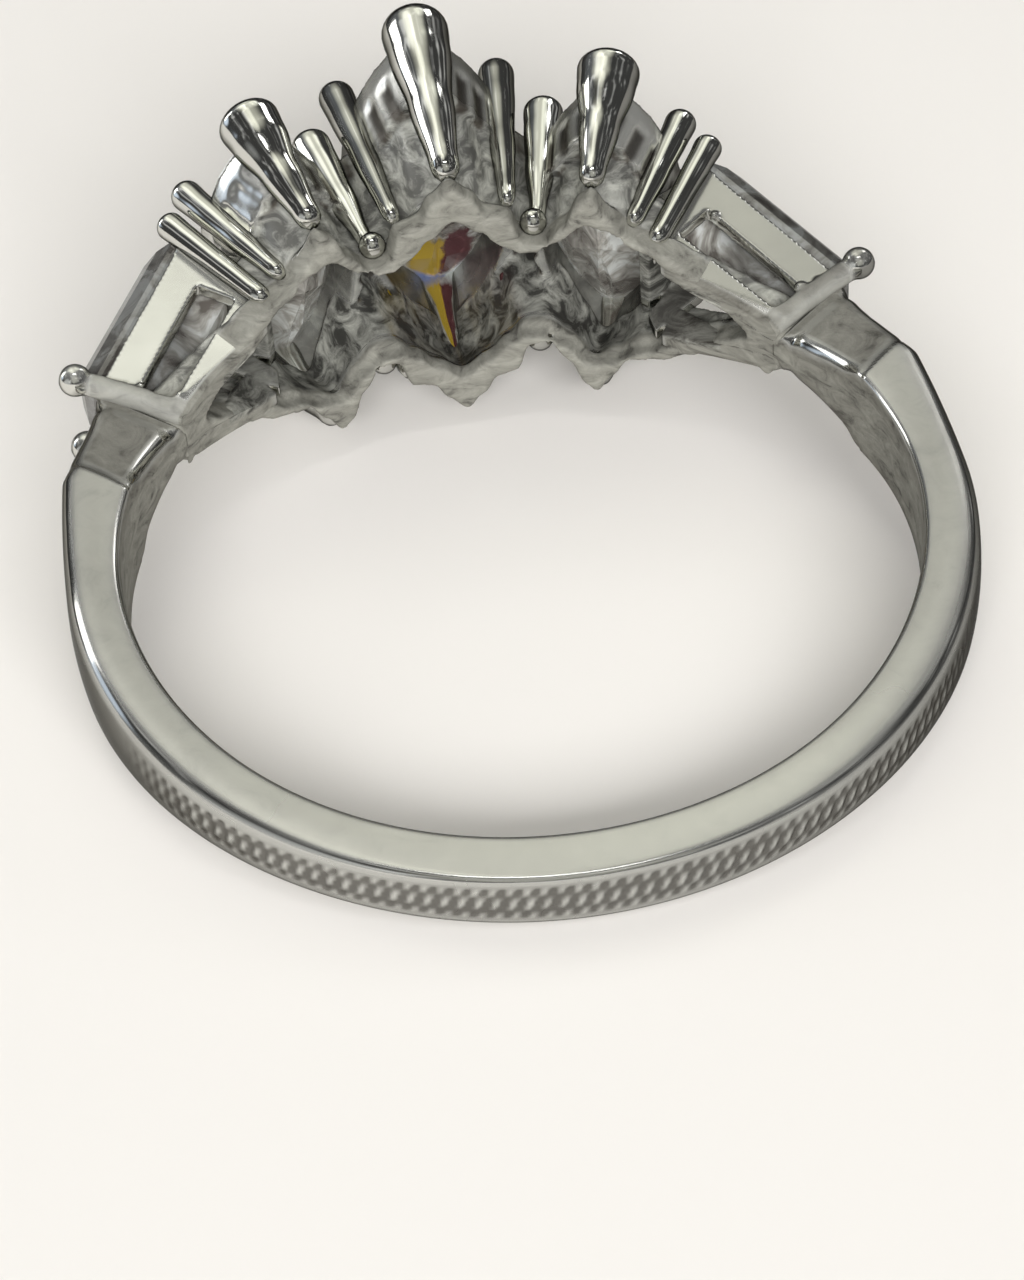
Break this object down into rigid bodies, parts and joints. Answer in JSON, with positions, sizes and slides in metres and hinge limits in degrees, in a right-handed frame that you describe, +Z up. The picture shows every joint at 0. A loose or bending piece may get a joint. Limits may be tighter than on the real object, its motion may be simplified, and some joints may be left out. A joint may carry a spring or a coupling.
{
  "type": "ring",
  "caption": "Silver ring with a crown of marquise stones in ball-ended prongs and a tapered baguette stone on each shoulder, lying on its side.",
  "frame": {"origin": "middle of the base, under the ring as it lies on its side", "axes": "+Z up from the surface it lies on, +Y towards the stones, +X to the wearer's right; the finger's axis leans 9.7 degrees from +Z towards -Y"},
  "size_m": [0.0196, 0.0249, 0.0093],
  "materials": {
    "silver": "polished and rhodium plated, matt as cast on the inner faces",
    "clear_stone": "clear faceted cubic zirconia"
  },
  "bodies": {
    "root": {"ring_mount": "silver", "center_marquise": "clear_stone", "left_marquise": "clear_stone", "right_marquise": "clear_stone", "left_baguette": "clear_stone", "right_baguette": "clear_stone"}
  },
  "joints": []
}
